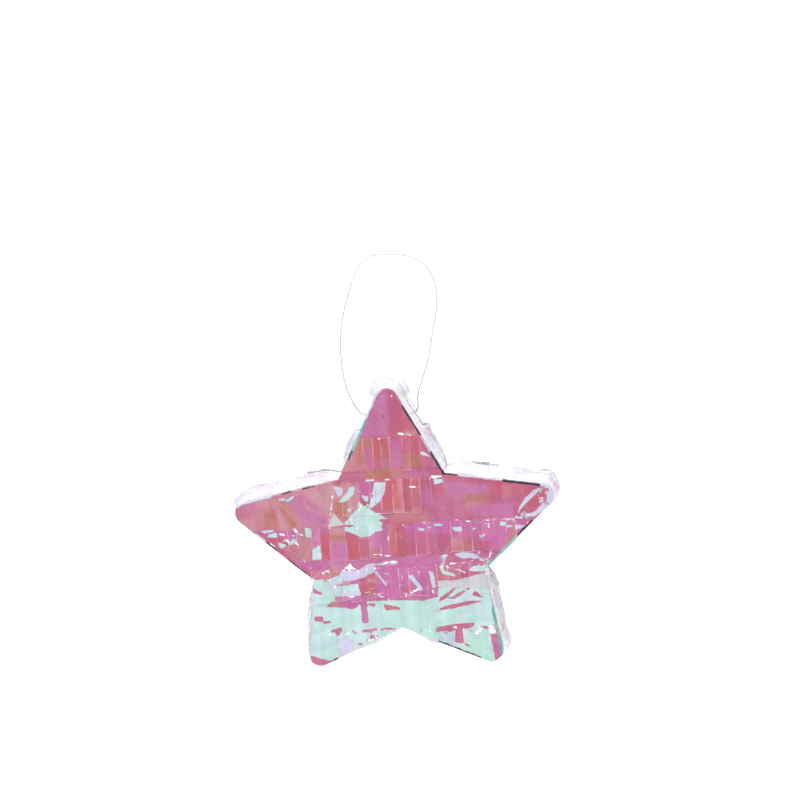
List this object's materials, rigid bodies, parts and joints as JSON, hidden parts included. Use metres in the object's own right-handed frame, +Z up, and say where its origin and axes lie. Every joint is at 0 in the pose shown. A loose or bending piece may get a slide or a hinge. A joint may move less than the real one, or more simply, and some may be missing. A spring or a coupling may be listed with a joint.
{
  "type": "star pinata",
  "caption": "Mini star pinata: a hollow card star with rounded points, covered in fringed iridescent film, with a rear filling flap, hung from a thin nylon loop.",
  "frame": {"origin": "inside of the hanging loop at its top, where it lies over a hook, a nail or a finger", "axes": "+Z up, +X to the right as seen from the front, the star's front face towards -Y and its filling flap towards +Y"},
  "size_m": [0.1622, 0.0468, 0.2103],
  "materials": {
    "card": "matt grey-white folding board",
    "tape": "matt gummed kraft paper tape",
    "washer": "matt brown board",
    "nylon": "clear glossy nylon cord",
    "film": "glossy iridescent film, pink to violet and mint green by angle",
    "side_film": "glossy half-clear iridescent film"
  },
  "bodies": {
    "hanger": {"hanger_cord": "nylon", "hanger_knots": "nylon"},
    "star": {"front_panel": "card", "back_panel": "card", "side_wall_top": "card", "side_wall_right_arm": "card", "side_wall_right_foot": "card", "side_wall_left_foot": "card", "side_wall_left_arm": "card", "valley_tapes": "tape", "hanger_washers": "washer", "front_film_1": "film", "front_film_2": "film", "front_film_3": "film", "front_film_4": "film", "front_film_5": "film", "back_film_1": "film", "back_film_2": "film", "back_film_3": "film", "back_film_4": "film", "back_film_5": "film", "side_film_front_top": "side_film", "side_film_front_right_arm": "side_film", "side_film_front_right_foot": "side_film", "side_film_front_left_foot": "side_film", "side_film_front_left_arm": "side_film", "side_film_rear_top": "side_film", "side_film_rear_right_arm": "side_film", "side_film_rear_right_foot": "side_film", "side_film_rear_left_foot": "side_film", "side_film_rear_left_arm": "side_film"},
    "flap": {"fill_flap": "card", "flap_film": "film"}
  },
  "joints": [
    {"name": "star_swing", "type": "hinge", "parent": "hanger", "child": "star", "pos_m": [0, 0, -0.082], "axis": [1, 0, 0], "range_deg": [-75, 75]},
    {"name": "flap_hinge", "type": "hinge", "parent": "star", "child": "flap", "pos_m": [0, 0.023, -0.1324], "axis": [1, 0, 0], "range_deg": [0, 110]}
  ]
}
